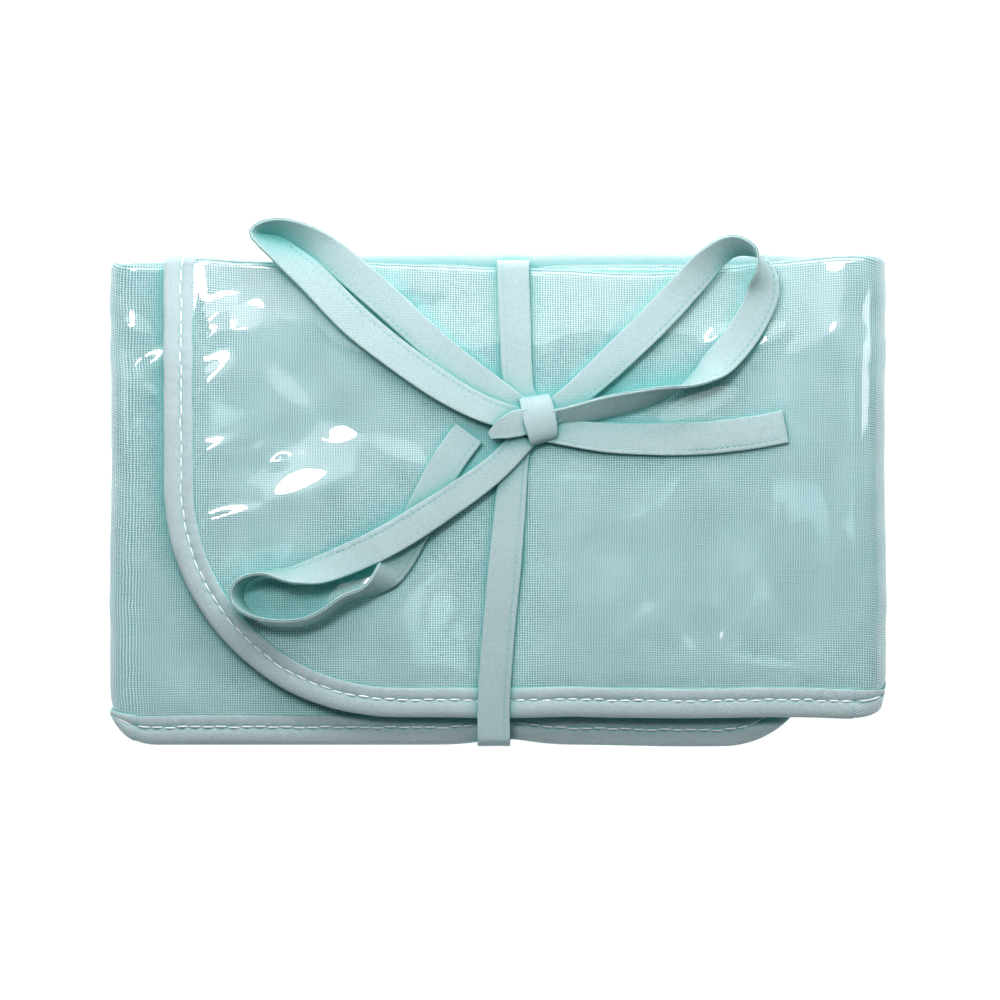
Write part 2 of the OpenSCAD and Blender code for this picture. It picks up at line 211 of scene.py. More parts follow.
def settle(p):
    """Moves points of the folded stack the way that soft cloth lies: sagging, waved and pulled in."""
    x, y, z = p[:, 0], p[:, 1], p[:, 2]
    along_x, along_y = 0 * y, 0 * x  # for noise that varies in one direction only
    # How much of each point's move is the right flap's, the left flap's and the middle panel's
    above = smooth(*RIGHT_FROM, z)
    right = above + (1 - above) * smooth(104, 114, x) * smooth(3, 18, z)
    left = smooth(*LEFT_FROM, z) * (1 - above) * (1 - smooth(98, 112, x))
    middle = np.clip(1 - right - left, 0, 1)
    top = smooth(30, 78, y)
    low = smooth(-30, -70, y)
    # The right flap's top edge sags between the sides and the strap, and both its edges wave
    sag = -1.6 * hump(x, -6, 40) - 3.6 * hump(x, 47, 34) + 1.5 * hump(x, -100, 12) + 1.9 * hump(x, 114, 17)
    wave = 0.55 * noise(x, along_x, 34, 3) + 0.3 * noise(x, along_x, 13, 4)
    dy = right * (top * (sag + 0.5 * wave) + low * (0.9 * wave - 0.5 * hump(x, 100, 18)))
    # The strap pulls in the left flap and the middle panel, and their edges wave too
    dy -= left * top * 2.2 * hump(x, 4, 10)
    pinch = hump(x, 2, 11)
    left_low = 1.2 * noise(x, along_x, 40, 8) + 1.6 * pinch - 0.7 * hump(x, 60, 30) + 0.5
    dy += left * low * left_low
    middle_top = 0.5 * noise(x, along_x, 45, 11) - 2.4 * smooth(-42, -66, x) - 0.8 * smooth(86, 100, x)
    dy += middle * top * middle_top
    # The middle panel's lower right end is pulled up, and the bottom corners are rounded off
    dy += middle * low * (10.5 * smooth(74, 98, x) + 1.8 * pinch)
    dy += smooth(-67, -79, y + dy) * (8 * np.clip((-111 - x) / 13.5, 0, 1) ** 2.4)
    dy += smooth(-58, -69, y + dy) * (5.5 * np.clip((x - 113) / 11.5, 0, 1) ** 2.6)
    # The sides wave in and out
    side = smooth(95, 122, np.abs(x))
    dx = side * np.sign(x) * (0.7 * noise(along_y, y, 26, 21) + 0.35 * noise(along_y, y, 9, 22))
    dx -= 1.4 * smooth(-113, -124, x)
    # The leaves are uneven, and lie lower under the strap and towards the top edge
    broad = 0.55 * noise(x, y, 46, 31) + 0.25 * noise(x, y, 19, 32) + crease_height(x, y, DENTS)
    inside = smooth(0, 16, 118 - np.abs(x))
    lift = broad * (0.35 + 0.65 * inside * smooth(-79, -58, y)) - 0.5 * hump(x, 2, 9)
    lift -= 2.6 * smooth(30, 80, y) ** 2 * inside
    p = p.copy()
    p[:, 0] += dx
    p[:, 1] += dy
    p[:, 2] += lift * np.clip(z / TOP_Z, 0, 1) ** 1.5
    return p


def lay(panel, u, v, n):
    """Where the flat point (u, v), n off the middle of the sheet, lies on that panel. On a fold, u runs from
    0 at the flap to 1 at the middle panel."""
    u, v, n = np.broadcast_arrays(np.asarray(u, float), v, n)
    u, v, n = u.ravel(), v.ravel(), n.ravel()
    if panel in EDGES:
        y, z = along(EDGES[panel], v, n)
        if panel == "right":
            x, z = RIGHT_AXIS[0] - u, RIGHT_Z + z
        elif panel == "left":
            x, z = LEFT_AXIS[0] + u, LEFT_Z + z
        else:
            x, z = LEFT_AXIS[0] + u, MIDDLE_Z - z
    else:
        side = panel.split("_")[0]
        share = smooth(0, 1, u)
        edges = [a + (b - a) * share for a, b in zip(EDGES[side], EDGES["middle"])]
        y, z = along(edges, v, n)
        axis, turn, sign = (LEFT_AXIS, LEFT_TURN, -1) if side == "left" else (RIGHT_AXIS, RIGHT_TURN, 1)
        x = axis[0] + sign * (turn + z) * np.sin(math.pi * u)
        z = axis[1] + (turn + z) * np.cos(math.pi * u)
    return settle(np.stack([x, y, z], 1))


def panel_edges(panel, u):
    """The edges of a panel at u, each an array like u."""
    u = np.asarray(u, float)
    if panel in EDGES:
        return [e + 0 * u for e in EDGES[panel]]
    share = smooth(0, 1, u)
    return [a + (b - a) * share for a, b in zip(EDGES[panel.split("_")[0]], EDGES["middle"])]


# ---------------- meshes
def make(name, points, faces, uv):
    """A smooth mesh from points in mm, with each point's flat place, in mm, as its UV."""
    mesh = bpy.data.meshes.new(name)
    mesh.from_pydata((np.asarray(points) * MM).tolist(), [], [tuple(int(i) for i in f) for f in faces])
    mesh.update()
    layer = mesh.uv_layers.new(name="flat")
    index = np.zeros(len(mesh.loops), int)
    mesh.loops.foreach_get("vertex_index", index)
    layer.data.foreach_set("uv", (np.asarray(uv) * UV_PER_MM)[index].astype(np.float32).ravel())
    mesh.polygons.foreach_set("use_smooth", [True] * len(mesh.polygons))
    obj = bpy.data.objects.new(name, mesh)
    bpy.context.scene.collection.objects.link(obj)
    return obj


def grid_faces(rows, columns, flip=False):
    """Quads between a grid's points, row by row."""
    i, j = np.meshgrid(np.arange(rows - 1), np.arange(columns - 1), indexing="ij")
    a = (i * columns + j).ravel()
    quad = np.stack([a, a + 1, a + columns + 1, a + columns], 1)
    return quad[:, ::-1] if flip else quad


def drop(panel, v, inset=0.0):
    """How far short of its full run a flap ends at v: a round corner on the outer leaf, and one on the inner
    leaf. The two leaves behind the outer one keep behind its corner."""
    outer, _, top, _ = EDGES[panel]
    r, height = CORNER_R[panel], flat_height(EDGES[panel])

    def arc(d):
        reach = np.sqrt(np.clip((r - inset) ** 2 - (r - d) ** 2, 0, None))
        return np.where(d < r, r - reach, inset)

    y = along(EDGES[panel], v, 0.0)[0]
    tuck = inset + 1.2 + 0.86 * r * (1 - np.clip((y - outer) / (1.07 * r), 0, 1)) ** 2
    share = smooth(top - outer, top - outer + TURN, v)
    return np.maximum(arc(v) * (1 - share) + tuck * share, arc(height - v))


def rows_of(height, fine, coarse, inset):
    """Rows across the flat sheet, as values of v: fine on the outer leaf, closest at the ends and round the
    turns, and coarse on the two leaves behind."""
    third = height / 3
    ends = inset + (1 - np.cos(np.linspace(0, math.pi / 2, 9))) * 4
    outer = np.arange(inset + 4 + fine, third - 4, fine)
    top_turn = np.arange(third - 4, third + 6, 0.5)
    between = np.arange(third + 6 + coarse, 2 * third - 6, coarse)
    bottom_turn = np.arange(2 * third - 6, 2 * third + 4, 0.5)
    last = np.arange(2 * third + 5, height - inset - 4, coarse)
    return np.concatenate([ends, outer, top_turn, between, bottom_turn, last, height - ends[::-1]])


def ply(name, panel, offset, thick, inset, step, extra=None):
    """One ply of a panel: a sheet with a little thickness, or a single surface if thick is 0."""
    fold = panel not in EDGES
    free = panel in ("left", "right")
    if fold:
        us = np.linspace(0, 1, 22)
        height = flat_height(EDGES["middle"])
    else:
        us = np.arange(0, RUN[panel] + step * 0.5, step) / RUN[panel]
        us = us / us[-1]
        height = flat_height(EDGES[panel])
    vs = rows_of(height, step, max(2.2, step), inset) / height
    v_share, u_share = np.meshgrid(vs, us, indexing="ij")
    if fold:
        local = flat_height(panel_edges(panel, u_share))
        v, u = v_share * local, u_share
        u_mm = -u_share * math.pi * ((LEFT_TURN if panel == "left_fold" else RIGHT_TURN) + PITCH)
    else:
        v = v_share * height
        reach = RUN[panel] - drop(panel, v, inset) if free else RUN[panel]
        u = u_share * reach
        u_mm = u
    n = np.full(v.shape, float(offset))
    if extra is not None:
        n = n + extra(u_mm, v, panel)
    near_edge = np.minimum(v, (flat_height(panel_edges(panel, u)) if fold else height) - v)
    if free:
        near_edge = np.minimum(near_edge, reach + inset - u)
        r = CORNER_R[panel]
        centre = RUN[panel] - r
        for d in (v, height - v):
            round_gap = r - np.hypot(u - centre, r - d)
            near_edge = np.where((d < r) & (u > centre), np.minimum(near_edge, round_gap), near_edge)
        near_edge = np.maximum(near_edge, 0)
    # The plies are pressed together inside the tape
    n = n * (0.42 + 0.58 * smooth(TAPE_W - 1, TAPE_W + 5, near_edge))
    points = lay(panel, u, v, n)
    faces = grid_faces(len(vs), len(us), flip=panel in ("left", "left_fold"))
    uv = np.stack([u_mm.ravel(), v.ravel()], 1)
    if thick:
        under = lay(panel, u, v, n - thick)
        count = len(points)
        loop = border(len(vs), len(us))
        walls = [(a, b, b + count, a + count) for a, b in zip(loop, loop[1:] + loop[:1])]
        points = np.concatenate([points, under])
        faces = list(map(tuple, faces)) + [tuple(f[::-1]) for f in faces + count] + walls
        uv = np.concatenate([uv, uv])
    obj = make(name, points, faces, uv)
    tidy_normals(obj)
    return obj


def border(rows, columns):
    """The numbers of a grid's outer points, in order round it."""
    top = list(range(columns))
    right = [r * columns + columns - 1 for r in range(1, rows)]
    low = [(rows - 1) * columns + c for c in range(columns - 2, -1, -1)]
    left = [r * columns for r in range(rows - 2, 0, -1)]
    return top + right + low + left


SHARP_FROM = math.radians(55)


def tidy_normals(obj):
    """Turns all faces outwards, and marks the sharp edges."""
    bm = bmesh.new()
    bm.from_mesh(obj.data)
    bmesh.ops.recalc_face_normals(bm, faces=bm.faces)
    bm.to_mesh(obj.data)
    bm.free()
    obj.data.set_sharp_from_angle(angle=SHARP_FROM)


# ---------------- bound edge
def travelled(panel, u, v):
    """How far along a flat line each of its points is, in mm."""
    flat_u = u if panel in EDGES else u * FOLD_ARC
    return np.concatenate([[0], np.cumsum(np.hypot(np.diff(flat_u), np.diff(v)))])


def evened(values, count=7):
    """A running mean."""
    return np.convolve(np.pad(values, count // 2, "edge"), np.ones(count) / count, "valid")


def outline(panel, inset, step):
    """The lines at a given inset from a panel's bound edges: the flat points of each, and which way is
    inwards there."""
    if panel not in EDGES:
        u = np.linspace(0, 1, 26)
        height = flat_height(panel_edges(panel, u))
        zero, one = np.zeros(len(u)), np.ones(len(u))
        return [(u, zero + inset, zero, one), (u, height - inset, zero, -one)]
    run, height = RUN[panel], flat_height(EDGES[panel])
    if panel == "middle":
        u = np.arange(0, run, step)
        u = np.append(u, run)
        zero, one = np.zeros(len(u)), np.ones(len(u))
        return [(u, zero + inset, zero, one), (u, zero + height - inset, zero, -one)]
    r = CORNER_R[panel]
    bend = np.linspace(0.01, math.pi / 2, int(r * 2))
    straight = np.arange(r + 0.4, height - r, 0.4)
    v = np.concatenate([r - r * np.cos(bend), straight, height - r + r * np.sin(bend)])
    ahead = np.arange(0, run - r, 0.4)
    u = np.concatenate([ahead, run - drop(panel, v), ahead[::-1]])
    v = np.concatenate([0 * ahead, v, 0 * ahead + height])
    travel = travelled(panel, u, v)
    t = np.linspace(0, travel[-1], int(travel[-1] / step))
    u, v = np.interp(t, travel, u), np.interp(t, travel, v)
    du, dv = evened(-np.gradient(v)), evened(np.gradient(u))
    size = np.hypot(du, dv)
    du, dv = du / size, dv / size
    return [(u + inset * du, v + inset * dv, du, dv)]


STITCH_PITCH, STITCH_LENGTH = 4.2, 4.0
FREE_EDGE_SHARE = 0.16 / 0.3  # how much of the tape's looseness its free edge shows
# Section of the tape round an edge: (distance in from the edge, height off the sheet's middle)
TAPE_SECTION = [
    (9.0, 0.5), (9.06, 0.78), (8.8, 1.0), (8.2, 1.12), (7.2, 1.1), (6.3, 0.96), (5.8, 0.72), (5.45, 0.5),
    (5.1, 0.5), (4.7, 0.74), (3.9, 1.06), (2.8, 1.2), (1.6, 1.1), (0.7, 0.84), (0.15, 0.46), (-0.02, 0.1),
    (0.0, -0.24), (0.3, -0.6), (1.0, -0.84), (2.4, -0.92), (4.0, -0.86), (5.3, -0.66), (6.6, -0.82),
    (8.2, -0.84), (9.0, -0.74), (9.0, -0.52),
]


def from_seam(panel, u):
    """0 where a panel meets a fold and 1 well away from it, so that their surfaces meet."""
    if panel not in EDGES:
        return np.zeros(np.shape(u))
    fade = smooth(0, 9, u)
    return fade * smooth(0, 9, RUN["middle"] - u) if panel == "middle" else fade


def tape(name, panel):
    """The bias tape folded round a panel's edges, puckered along its stitches."""
    points, faces, uvs, start = [], [], [], 0
    for u, v, du, dv in outline(panel, 0, 0.8):
        length = travelled(panel, u, v)
        fade = from_seam(panel, u)
        by_pitch = 0.16 * np.cos(2 * math.pi * length / STITCH_PITCH)
        pucker = (by_pitch + 0.14 * noise(length, 0 * length, 2.6, 43)) * fade
        loose = (0.3 * noise(length, 0 * length, 23, 41) + 0.24 * noise(length, 0 * length, 7, 42)) * fade
        rings = []
        for d, h in TAPE_SECTION:
            by_stitch = math.exp(-((d - STITCH_IN) / 2.2) ** 2)
            reach = d + (FREE_EDGE_SHARE * loose if d > 8 else 0)
            height = h + np.sign(h) * (loose * 0.5 * (d < 8.5) + pucker * by_stitch)
            rings.append(lay(panel, u + du * reach, v + dv * reach, height))
        rings = np.stack(rings, 1)
        count = len(TAPE_SECTION)
        points.append(rings.reshape(-1, 3))
        faces.append(grid_faces(len(u), count) + start)
        across = np.cumsum([0] + [math.dist(a, b) for a, b in zip(TAPE_SECTION, TAPE_SECTION[1:])])
        grid_a, grid_l = np.meshgrid(across, length)
        uvs.append(np.stack([grid_l.ravel(), grid_a.ravel()], 1))
        start += len(u) * count
    obj = make(name, np.concatenate(points), np.concatenate(faces), np.concatenate(uvs))
    solid = obj.modifiers.new("thickness", "SOLIDIFY")
    solid.thickness = 0.28 * MM
    solid.offset = -1
    apply_all(obj)
    tidy_normals(obj)
    return obj


def apply_all(obj):
    """Applies an object's modifiers."""
    graph = bpy.context.evaluated_depsgraph_get()
    mesh = bpy.data.meshes.new_from_object(obj.evaluated_get(graph))
    obj.modifiers.clear()
    obj.data = mesh


def bead(points, radius, sides=6):
    """A short thick thread through the points, rounded off at both ends."""
    points = np.asarray(points, float)
    forward = np.gradient(points, axis=0)
    forward /= np.linalg.norm(forward, axis=1)[:, None]
    helper = np.array([0.3, 0.2, 1.0])
    side = np.cross(forward, helper)
    side /= np.linalg.norm(side, axis=1)[:, None]
    up = np.cross(side, forward)
    count = len(points)
    swell = np.sqrt(np.clip(1 - np.abs(np.linspace(-1, 1, count)) ** 4, 0.05, 1))
    angle = np.linspace(0, 2 * math.pi, sides, endpoint=False)
    rings = points[:, None] + radius * swell[:, None, None] * (
        side[:, None] * np.cos(angle)[None, :, None] + up[:, None] * np.sin(angle)[None, :, None])
    faces = []
    for i in range(count - 1):
        for k in range(sides):
            m = (k + 1) % sides
            faces.append((i * sides + k, i * sides + m, (i + 1) * sides + m, (i + 1) * sides + k))
    faces.append(tuple(range(sides))[::-1])
    faces.append(tuple(range((count - 1) * sides, count * sides)))
    return rings.reshape(-1, 3), faces


def joined(name, beads):
    """One mesh from many beads."""
    points, faces, start = [], [], 0
    for p, f in beads:
        points.append(p)
        faces += [tuple(i + start for i in face) for face in f]
        start += len(p)
    points = np.concatenate(points)
    return make(name, points, faces, points[:, :2])


def stitches(name, panel, radius=0.34):
    """A row of stitches along a panel's bound edges, on both faces of the tape."""
    beads = []
    for u, v, du, dv in outline(panel, STITCH_IN, 0.4):
        travel = travelled(panel, u, v)
        starts = np.arange(0.4, travel[-1] - STITCH_LENGTH, STITCH_PITCH)
        for number, s in enumerate(starts):
            wobble = 0.16 * math.sin(number * 2.4) + 0.1 * math.sin(number * 5.1)
            t = np.linspace(s, s + STITCH_LENGTH, 7)
            bow = np.sin(np.linspace(0, math.pi, 7))
            pu, pv = np.interp(t, travel, u), np.interp(t, travel, v)
            if panel in EDGES:
                pu = pu + np.interp(t, travel, du) * wobble
            pv = pv + np.interp(t, travel, dv) * wobble
            for sign in (1, -1):
                beads.append(bead(lay(panel, pu, pv, sign * (0.66 + 0.3 * bow)), radius))
    return joined(name, beads)


# ---------------- ribbons of the tie
PRESSED = 0.38  # how much lower a ribbon lies where it is flat, as a share of its height above the strap


def spline(route, step):
    """A smooth line through a route's points: the places, width directions and distances travelled, at even
    distances. Where the ribbon lies flat it is pressed down, against what is under it."""
    route = np.array(route, float)
    above = route[:, 2] > STRAP_Z
    flatness = 1 - np.abs(route[above, 5])
    route[above, 2] = STRAP_Z + (route[above, 2] - STRAP_Z) * (1 - PRESSED * flatness)
    padded = np.concatenate([route[:1], route, route[-1:]])
    fine = []
    for i in range(len(route) - 1):
        a, b, c, d = padded[i:i + 4]
        for u in np.linspace(0, 1, 24, endpoint=False):
            fine.append(b + (c - a) * u / 2 + (2 * a - 5 * b + 4 * c - d) * u * u / 2
                        + (3 * b - a - 3 * c + d) * u ** 3 / 2)
    fine.append(route[-1])
    fine = np.array(fine)
    travel = np.concatenate([[0], np.cumsum(np.linalg.norm(np.diff(fine[:, :3], axis=0), axis=1))])
    t = np.linspace(0, travel[-1], max(4, int(travel[-1] / step)))
    even = np.stack([np.interp(t, travel, fine[:, k]) for k in range(6)], 1)
    return even[:, :3], even[:, 3:], t


def frames(route, step=0.8):
    """Places along a ribbon, its width direction and upward direction there, and the distance travelled."""
    p, w, t = spline(route, step)
    forward = np.gradient(p, axis=0)
    forward /= np.linalg.norm(forward, axis=1)[:, None]
    side = w - forward * np.sum(w * forward, axis=1)[:, None]
    side /= np.linalg.norm(side, axis=1)[:, None]
    up = np.cross(forward, side)
    return p, side, up, t


# Section of the tie, folded and sewn: (across, up), as shares of half its width and thickness. Both edges
# show the two plies, with a groove between them, and one has the row of stitches in a shallow dip beside it.
RIBBON_SECTION = [
    (-1.0, 0.2), (-0.995, 0.62), (-0.96, 0.92), (-0.86, 1.0), (-0.72, 0.9), (-0.66, 0.84), (-0.6, 0.9),
    (-0.3, 0.98), (0.2, 1.02), (0.6, 1.0), (0.86, 1.0), (0.96, 0.92), (0.995, 0.62), (1.0, 0.2),
    (0.9, 0.0), (1.0, -0.2), (0.995, -0.62), (0.96, -0.92), (0.86, -1.0), (0.6, -1.0), (0.2, -1.02),
    (-0.3, -0.98), (-0.6, -0.9), (-0.66, -0.84), (-0.72, -0.9), (-0.86, -1.0), (-0.96, -0.92),
    (-0.995, -0.62), (-1.0, -0.2), (-0.9, 0.0),
]


SEAM_AT = -0.66  # where the tie's row of stitches is, as a share of its half width
TIE_STITCH_PITCH, TIE_STITCH_LENGTH = 2.0, 1.35


def ribbon(name, route, seed, width, thick=TIE_T, waviness=1.0, sewn=True, flip=1):
    """A piece of the tie along a route, its stitches as beads, and its centre line. width is a list of widths
    at even distances, and flip is -1 where the row of stitches is on the other side."""
    p, side, up, t = frames(route)
    w = np.interp(t / t[-1], np.linspace(0, 1, len(width)), width)
    w = w * (1 + 0.025 * noise(t, 0 * t, 17, seed))
    ripple = waviness * (0.16 * noise(t, 0 * t, 9, seed + 1) + 0.08 * noise(t, 0 * t, 3.5, seed + 2))
    rings = []
    for a, b in RIBBON_SECTION:
        a = a * flip
        curl = 0.22 * a * a * noise(t, 0 * t, 14, seed + 3) * waviness
        height = b * thick / 2 + curl + ripple * (1 - 0.5 * abs(a))
        rings.append(p + side * (a * w / 2)[:, None] + up * height[:, None])
    rings = np.stack(rings, 1)
    count = len(RIBBON_SECTION)
    faces = []
    for k in range(count):
        m = (k + 1) % count
        a = np.arange(len(p) - 1) * count
        faces.append(np.stack([a + k, a + m, a + m + count, a + k + count], 1))
    faces = [tuple(f) for f in np.concatenate(faces)]
    faces.append(tuple(range(count))[::-1])
    faces.append(tuple(range((len(p) - 1) * count, len(p) * count)))
    across = np.array([s[0] for s in RIBBON_SECTION]) * TIE_W / 2
    grid_a, grid_l = np.meshgrid(across, t)
    obj = make(name, rings.reshape(-1, 3), faces, np.stack([grid_l.ravel(), grid_a.ravel()], 1))
    tidy_normals(obj)
    sewing = []
    if sewn:
        for s in np.arange(0.8, t[-1] - 2, TIE_STITCH_PITCH):
            q = np.linspace(s, s + TIE_STITCH_LENGTH, 5)
            bow = np.sin(np.linspace(0, math.pi, 5))
            for face in (1, -1):
                pts = []
                for k, s_at in enumerate(q):
                    i = round(s_at / t[-1] * (len(t) - 1))
                    place = np.array([np.interp(s_at, t, p[:, c]) for c in range(3)])
                    lift = face * (thick / 2 * 0.86 + 0.07 * bow[k]) + np.interp(s_at, t, ripple)
                    pts.append(place + side[i] * (SEAM_AT * flip * w[i] / 2) + up[i] * lift)
                sewing.append(bead(pts, 0.13, 5))
    return obj, sewing, p


# The routes of the tie's pieces, in mm: (x, y, z, width direction)
Z = STRAP_Z
TOP_TURN_Y, LOW_TURN_Y = HALF_H - 2.7, -HALF_H + 0.7
SEWN_X, LOWER_X = 4.2, -2
ROUTES = {
    "tie_top_strap": [
        (SEWN_X, TOP_TURN_Y, BACK_STRAP_Z + 0.2, 1, 0, 0), (SEWN_X, TOP_TURN_Y, Z - 3, 1, 0, 0),
        (SEWN_X, TOP_TURN_Y - 1, Z - 0.3, 1, 0, 0), (SEWN_X, TOP_TURN_Y - 4, Z, 1, 0, 0),
        (4.8, 56, Z, 1, 0, 0), (5.4, 42, Z + 0.1, 1, 0, 0), (6.6, 34, Z + 0.3, 1, -0.2, 0),
        (10.4, 27.4, Z + 1.1, 1, -0.3, 0)],
    "tie_bottom_strap": [
        (9.5, 22.3, Z + 0.9, 1, -0.2, 0), (5.4, 16, Z + 0.3, 1, -0.1, 0), (4, 6, Z, 1, 0, 0),
        (2, -16, Z, 1, 0, 0), (-0.6, -44, Z, 1, 0, 0), (LOWER_X, -64, Z, 1, 0, 0),
        (LOWER_X, -74, Z, 1, 0, 0), (LOWER_X, LOW_TURN_Y + 1, Z - 0.3, 1, 0, 0),
        (LOWER_X, LOW_TURN_Y, Z - 3, 1, 0, 0), (LOWER_X, LOW_TURN_Y, BACK_STRAP_Z + 0.2, 1, 0, 0)],
    "tie_back_strap": [
        (SEWN_X, HALF_H - 2.4, BACK_STRAP_Z, 1, 0, 0), (4, 40, BACK_STRAP_Z, 1, 0, 0),
        (0, -40, BACK_STRAP_Z, 1, 0, 0), (LOWER_X, -HALF_H + 0.5, BACK_STRAP_Z, 1, 0, 0)],
    "tie_left_loop": [
        (7, 25.5, Z + 4.6, -0.5, -0.85, 0), (-7, 30, Z + 5, -0.5, -0.85, 0.15),
        (-24, 40, Z + 4.5, -0.6, -0.8, 0.15), (-45, 56, Z + 4, -0.68, -0.73, 0.15),
        (-60, 71, Z + 4.4, -0.7, -0.66, 0.3), (-69.5, 79.2, Z + 5, -0.6, -0.5, 0.62),
        (-75.8, 83.4, Z + 5.3, -0.5, -0.25, 0.85), (-78, 85.4, Z + 5.3, -0.42, 0.1, 0.9),
        (-75.6, 87, Z + 5.2, -0.1, 0.42, 0.9), (-69.5, 87, Z + 4.8, 0.2, 0.55, 0.8),
        (-61.5, 83.6, Z + 3.8, 0.4, 0.7, 0.55), (-53, 77.8, Z + 2.8, 0.58, 0.78, 0.2),
        (-38, 65, Z + 1.8, 0.66, 0.75, 0), (-18, 47, Z + 1.6, 0.66, 0.75, 0),
        (1, 33, Z + 2.4, 0.66, 0.75, 0), (8, 28, Z + 3, 0.66, 0.75, 0)],
    "tie_right_loop": [
        (13.6, 25.6, Z + 4.2, -0.7, 0.7, 0), (18, 29, Z + 4.4, -0.7, 0.7, 0), (28, 37, Z + 4, -0.7, 0.7, 0),
        (49, 57, Z + 3.4, -0.7, 0.7, 0), (61, 70, Z + 3.8, -0.66, 0.7, 0.25),
        (67.5, 77, Z + 4.8, -0.35, 0.74, 0.55), (74, 81.2, Z + 5.3, 0.02, 0.66, 0.75),
        (80.5, 80, Z + 5.3, 0.1, 0.3, 0.95), (84, 75, Z + 5.1, -0.45, 0.1, 0.88),
        (84.2, 66, Z + 3.6, -0.93, 0.2, 0.25), (79, 55, Z + 2.8, -0.88, 0.45, 0),
        (71, 45, Z + 3, -0.72, 0.6, -0.3), (63, 38.6, Z + 4.3, -0.3, 0.3, -0.9),
        (50, 33.4, Z + 4.4, 0.03, -0.5, -0.86), (34, 29.8, Z + 4, 0.08, -0.72, -0.68),
        (22, 26.8, Z + 3.6, 0.05, -0.76, -0.64), (13.5, 25.2, Z + 3.4, 0, -0.8, -0.6)],
    "tie_left_tail": [
        (8, 20, Z + 2.8, 0.85, -0.5, 0), (-3, 9, Z + 3.4, 0.66, -0.75, 0),
        (-20, -3, Z + 5.2, 0.57, -0.82, 0), (-38, -14, Z + 7, 0.5, -0.86, 0.1),
        (-55, -21.5, Z + 4.6, 0.35, -0.8, 0.4), (-66, -24.2, Z + 5.2, 0.1, -0.5, 0.85),
        (-76, -23.8, Z + 5.3, -0.1, 0, 0.98), (-82.5, -26.2, Z + 5.4, -0.3, 0.1, 0.94),
        (-84.6, -30.5, Z + 5.4, -0.36, 0, 0.93), (-82, -35.2, Z + 5.3, -0.2, -0.05, 0.97),
        (-75, -39, Z + 5.3, 0, 0.15, 0.98), (-65, -39.8, Z + 5.2, 0, 0.24, 0.97),
        (-57.5, -37.2, Z + 5.1, -0.12, 0.24, 0.96), (-50, -32, Z + 5, -0.14, 0.24, 0.95),
        (-43, -29.3, Z + 5, -0.2, 0.26, 0.94), (-37.4, -25, Z + 3.9, -0.55, 0.46, 0.7),
        (-33.6, -20.2, Z + 1.8, -0.76, 0.6, 0.22), (-28.8, -11.4, Z + 0.7, -0.86, 0.5, 0),
        (-18, 10, Z + 1.2, -0.87, 0.5, 0), (-10, 21.5, Z + 1.6, -0.87, 0.48, 0)],
    "tie_right_tail": [
        (13.5, 22.6, Z + 3, 0.1, -1, 0), (30, 20.4, Z + 1.8, 0, -1, 0), (44, 19.6, Z + 1, 0, -1, 0),
        (64, 19.8, Z + 0.8, 0.05, -1, 0), (80, 21.5, Z + 0.8, 0.12, -1, 0),
        (91.5, 23.6, Z + 0.8, 0.15, -1, 0)],
    "tie_knot_tuck": [
        (10, 25.5, Z + 6.2, 0.3, 0.95, 0.1), (5, 24.4, Z + 6.9, 0.3, 0.95, 0.1),
        (0.5, 22.6, Z + 6.9, 0.35, 0.93, 0.1), (-3.3, 20.6, Z + 5.8, 0.4, 0.9, 0.1)],
}
# The band that goes over the knot, from its upper end round the front to its lower end
WRAP_ROUTE = [
    (10.6, 32.4, Z + 0.8, 0.97, 0.12, 0), (11.0, 32.6, Z + 4.2, 0.97, 0.14, 0),
    (11.7, 30.2, Z + 7.2, 0.97, 0.18, 0), (12.6, 26.4, Z + 8.4, 0.96, 0.24, 0),
    (13.5, 22.2, Z + 7.6, 0.95, 0.28, 0), (14.0, 19.4, Z + 4.8, 0.95, 0.3, 0),
    (14.0, 19.0, Z + 1.2, 0.95, 0.3, 0)]


# ---------------- materials
# The teal of the painted shade in the cloths' crevices, and of the light that the cloth lets through
TEAL = (0.09, 0.50, 0.47)


def material(name):
    """A new material, its node tree and its output."""
    m = bpy.data.materials.new(name)
    m.use_nodes = True
    tree = m.node_tree
    tree.nodes.clear()
    out = tree.nodes.new("ShaderNodeOutputMaterial")
    return m, tree, out


def node(tree, kind, inputs=(), **settings):
    """A shader node. inputs are numbers, colours, or other nodes' outputs."""
    n = tree.nodes.new(kind)
    for key, value in settings.items():
        setattr(n, key, value)
    for key, value in dict(inputs).items():
        if isinstance(value, bpy.types.NodeSocket):
            tree.links.new(value, n.inputs[key])
        else:
            n.inputs[key].default_value = value
    return n


def maths(tree, operation, a, b=0.0, clamp=False):
    """One step of arithmetic, kept from 0 to 1 if clamp is true."""
    return node(tree, "ShaderNodeMath", {0: a, 1: b}, operation=operation, use_clamp=clamp).outputs[0]


def scaled(tree, value, factor, offset):
    """The value times factor, plus offset."""
    inputs = {0: value, 1: factor, 2: offset}
    return node(tree, "ShaderNodeMath", inputs, operation="MULTIPLY_ADD").outputs[0]


def cloudy(tree, place, scale, detail, output="Fac"):
    """Noise, from 0 to 1."""
    inputs = {"Vector": place, "Scale": scale, "Detail": detail}
    return node(tree, "ShaderNodeTexNoise", inputs).outputs[output]


def blend_colour(tree, share, a, b):
    """Colour a where share is 0, and colour b where it is 1."""
    n = tree.nodes.new("ShaderNodeMix")
    n.data_type = "RGBA"
    for key, value in ((0, share), (6, a), (7, b)):
        if isinstance(value, bpy.types.NodeSocket):
            tree.links.new(value, n.inputs[key])
        elif key == 0:
            n.inputs[key].default_value = value
        else:
            n.inputs[key].default_value = (*value, 1)
    return n.outputs[2]


